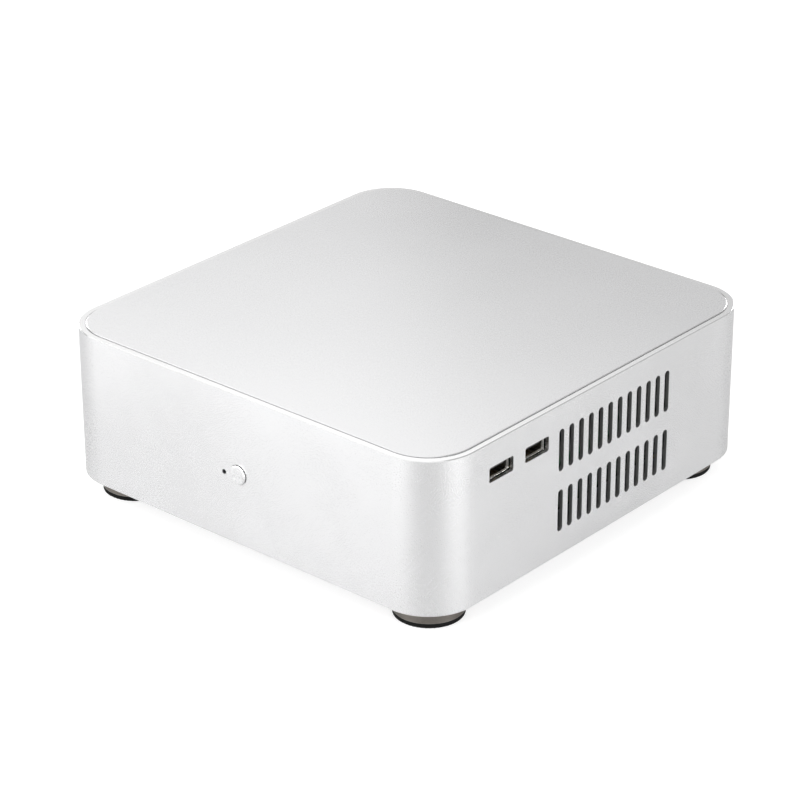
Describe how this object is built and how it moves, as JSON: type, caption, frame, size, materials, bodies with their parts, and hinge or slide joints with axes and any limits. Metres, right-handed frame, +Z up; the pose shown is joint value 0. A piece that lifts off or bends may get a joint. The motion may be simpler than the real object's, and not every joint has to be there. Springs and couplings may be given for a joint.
{
  "type": "desktop computer",
  "caption": "Low square desktop computer in a rounded aluminium ring case with a let-in lid, round feet, front power button, side USB sockets and vent slots.",
  "frame": {"origin": "on the desk, midway between the four feet", "axes": "+X to the side with the USB sockets, +Y to the rear ports, +Z up; the power button faces -Y"},
  "size_m": [0.2, 0.2038, 0.0752],
  "materials": {
    "satin_aluminium": "bead-blasted, clear anodised",
    "base_aluminium": "plain sheet, lightly brushed",
    "foot_metal": "turned, dark grey anodised",
    "rubber": "matt black",
    "steel_screws": "zinc plated",
    "nylon": "moulded, matt",
    "black_plastic": "moulded, fine texture",
    "lamp": "smoked clear plastic",
    "green_board": "dark solder resist over glass laminate",
    "plated_steel": "bright plated sheet",
    "brass": "turned",
    "socket_plastic": "moulded, light grey",
    "can_aluminium": "extruded, mill finish",
    "ferrite": "dark grey moulded powder",
    "drive_case": "fine black paint",
    "lead_jacket": "extruded vinyl, slightly glossy",
    "red_lead_jacket": "extruded vinyl, slightly glossy"
  },
  "bodies": {
    "case": {"body_shell": "satin_aluminium", "cover_catches": "nylon", "corner_brackets": "base_aluminium", "base_blocks": "base_aluminium", "base_screws": "steel_screws", "bottom_plate": "base_aluminium", "feet": "foot_metal", "foot_pads": "rubber", "foot_screws": "steel_screws", "button_guide": "nylon", "power_switch": "black_plastic", "front_board": "green_board", "front_bracket": "plated_steel", "status_led": "lamp", "usb_port_front": "plated_steel", "usb_port_rear": "plated_steel", "usb_tongues": "black_plastic", "usb_board": "green_board", "usb_bracket": "plated_steel", "motherboard": "green_board", "board_standoffs": "brass", "panel_screws": "steel_screws", "cpu_socket": "socket_plastic", "processor": "plated_steel", "memory_slots": "black_plastic", "memory_modules": "green_board", "expansion_slot": "black_plastic", "power_connector": "black_plastic", "power_board": "green_board", "sata_connectors": "black_plastic", "pin_headers": "black_plastic", "board_capacitors": "can_aluminium", "board_chokes": "ferrite", "chipset_heatsink": "can_aluminium", "cell_holder": "black_plastic", "coin_cell": "plated_steel", "cpu_heatsink": "can_aluminium", "heatsink_screws": "steel_screws", "fan_frame": "black_plastic", "fan_stator": "ferrite", "fan_screws": "steel_screws", "io_shield": "plated_steel", "rear_usb_ports": "plated_steel", "network_port": "plated_steel", "display_ports": "plated_steel", "audio_jacks": "black_plastic", "dc_jack": "black_plastic", "dc_jack_nut": "plated_steel", "drive_tray": "plated_steel", "solid_state_drive": "drive_case", "drive_cable": "red_lead_jacket", "drive_power_lead": "lead_jacket", "supply_lead": "lead_jacket", "switch_lead": "lead_jacket", "usb_lead": "lead_jacket"},
    "lid": {"top_cover": "satin_aluminium", "cover_studs": "steel_screws"},
    "button": {"power_button": "satin_aluminium", "switch_plunger": "black_plastic"},
    "fan": {"fan_rotor": "black_plastic"}
  },
  "joints": [
    {"name": "lid_lift", "type": "slide", "parent": "case", "child": "lid", "axis": [0, 0, 1], "range_m": [0, 0.06]},
    {"name": "power_press", "type": "slide", "parent": "case", "child": "button", "axis": [0, 1, 0], "range_m": [0, 0.001], "stiffness_N_per_m": 1500},
    {"name": "fan_spin", "type": "hinge", "parent": "case", "child": "fan", "pos_m": [0.016, 0.026, 0.054], "axis": [0, 0, 1], "continuous": true}
  ]
}
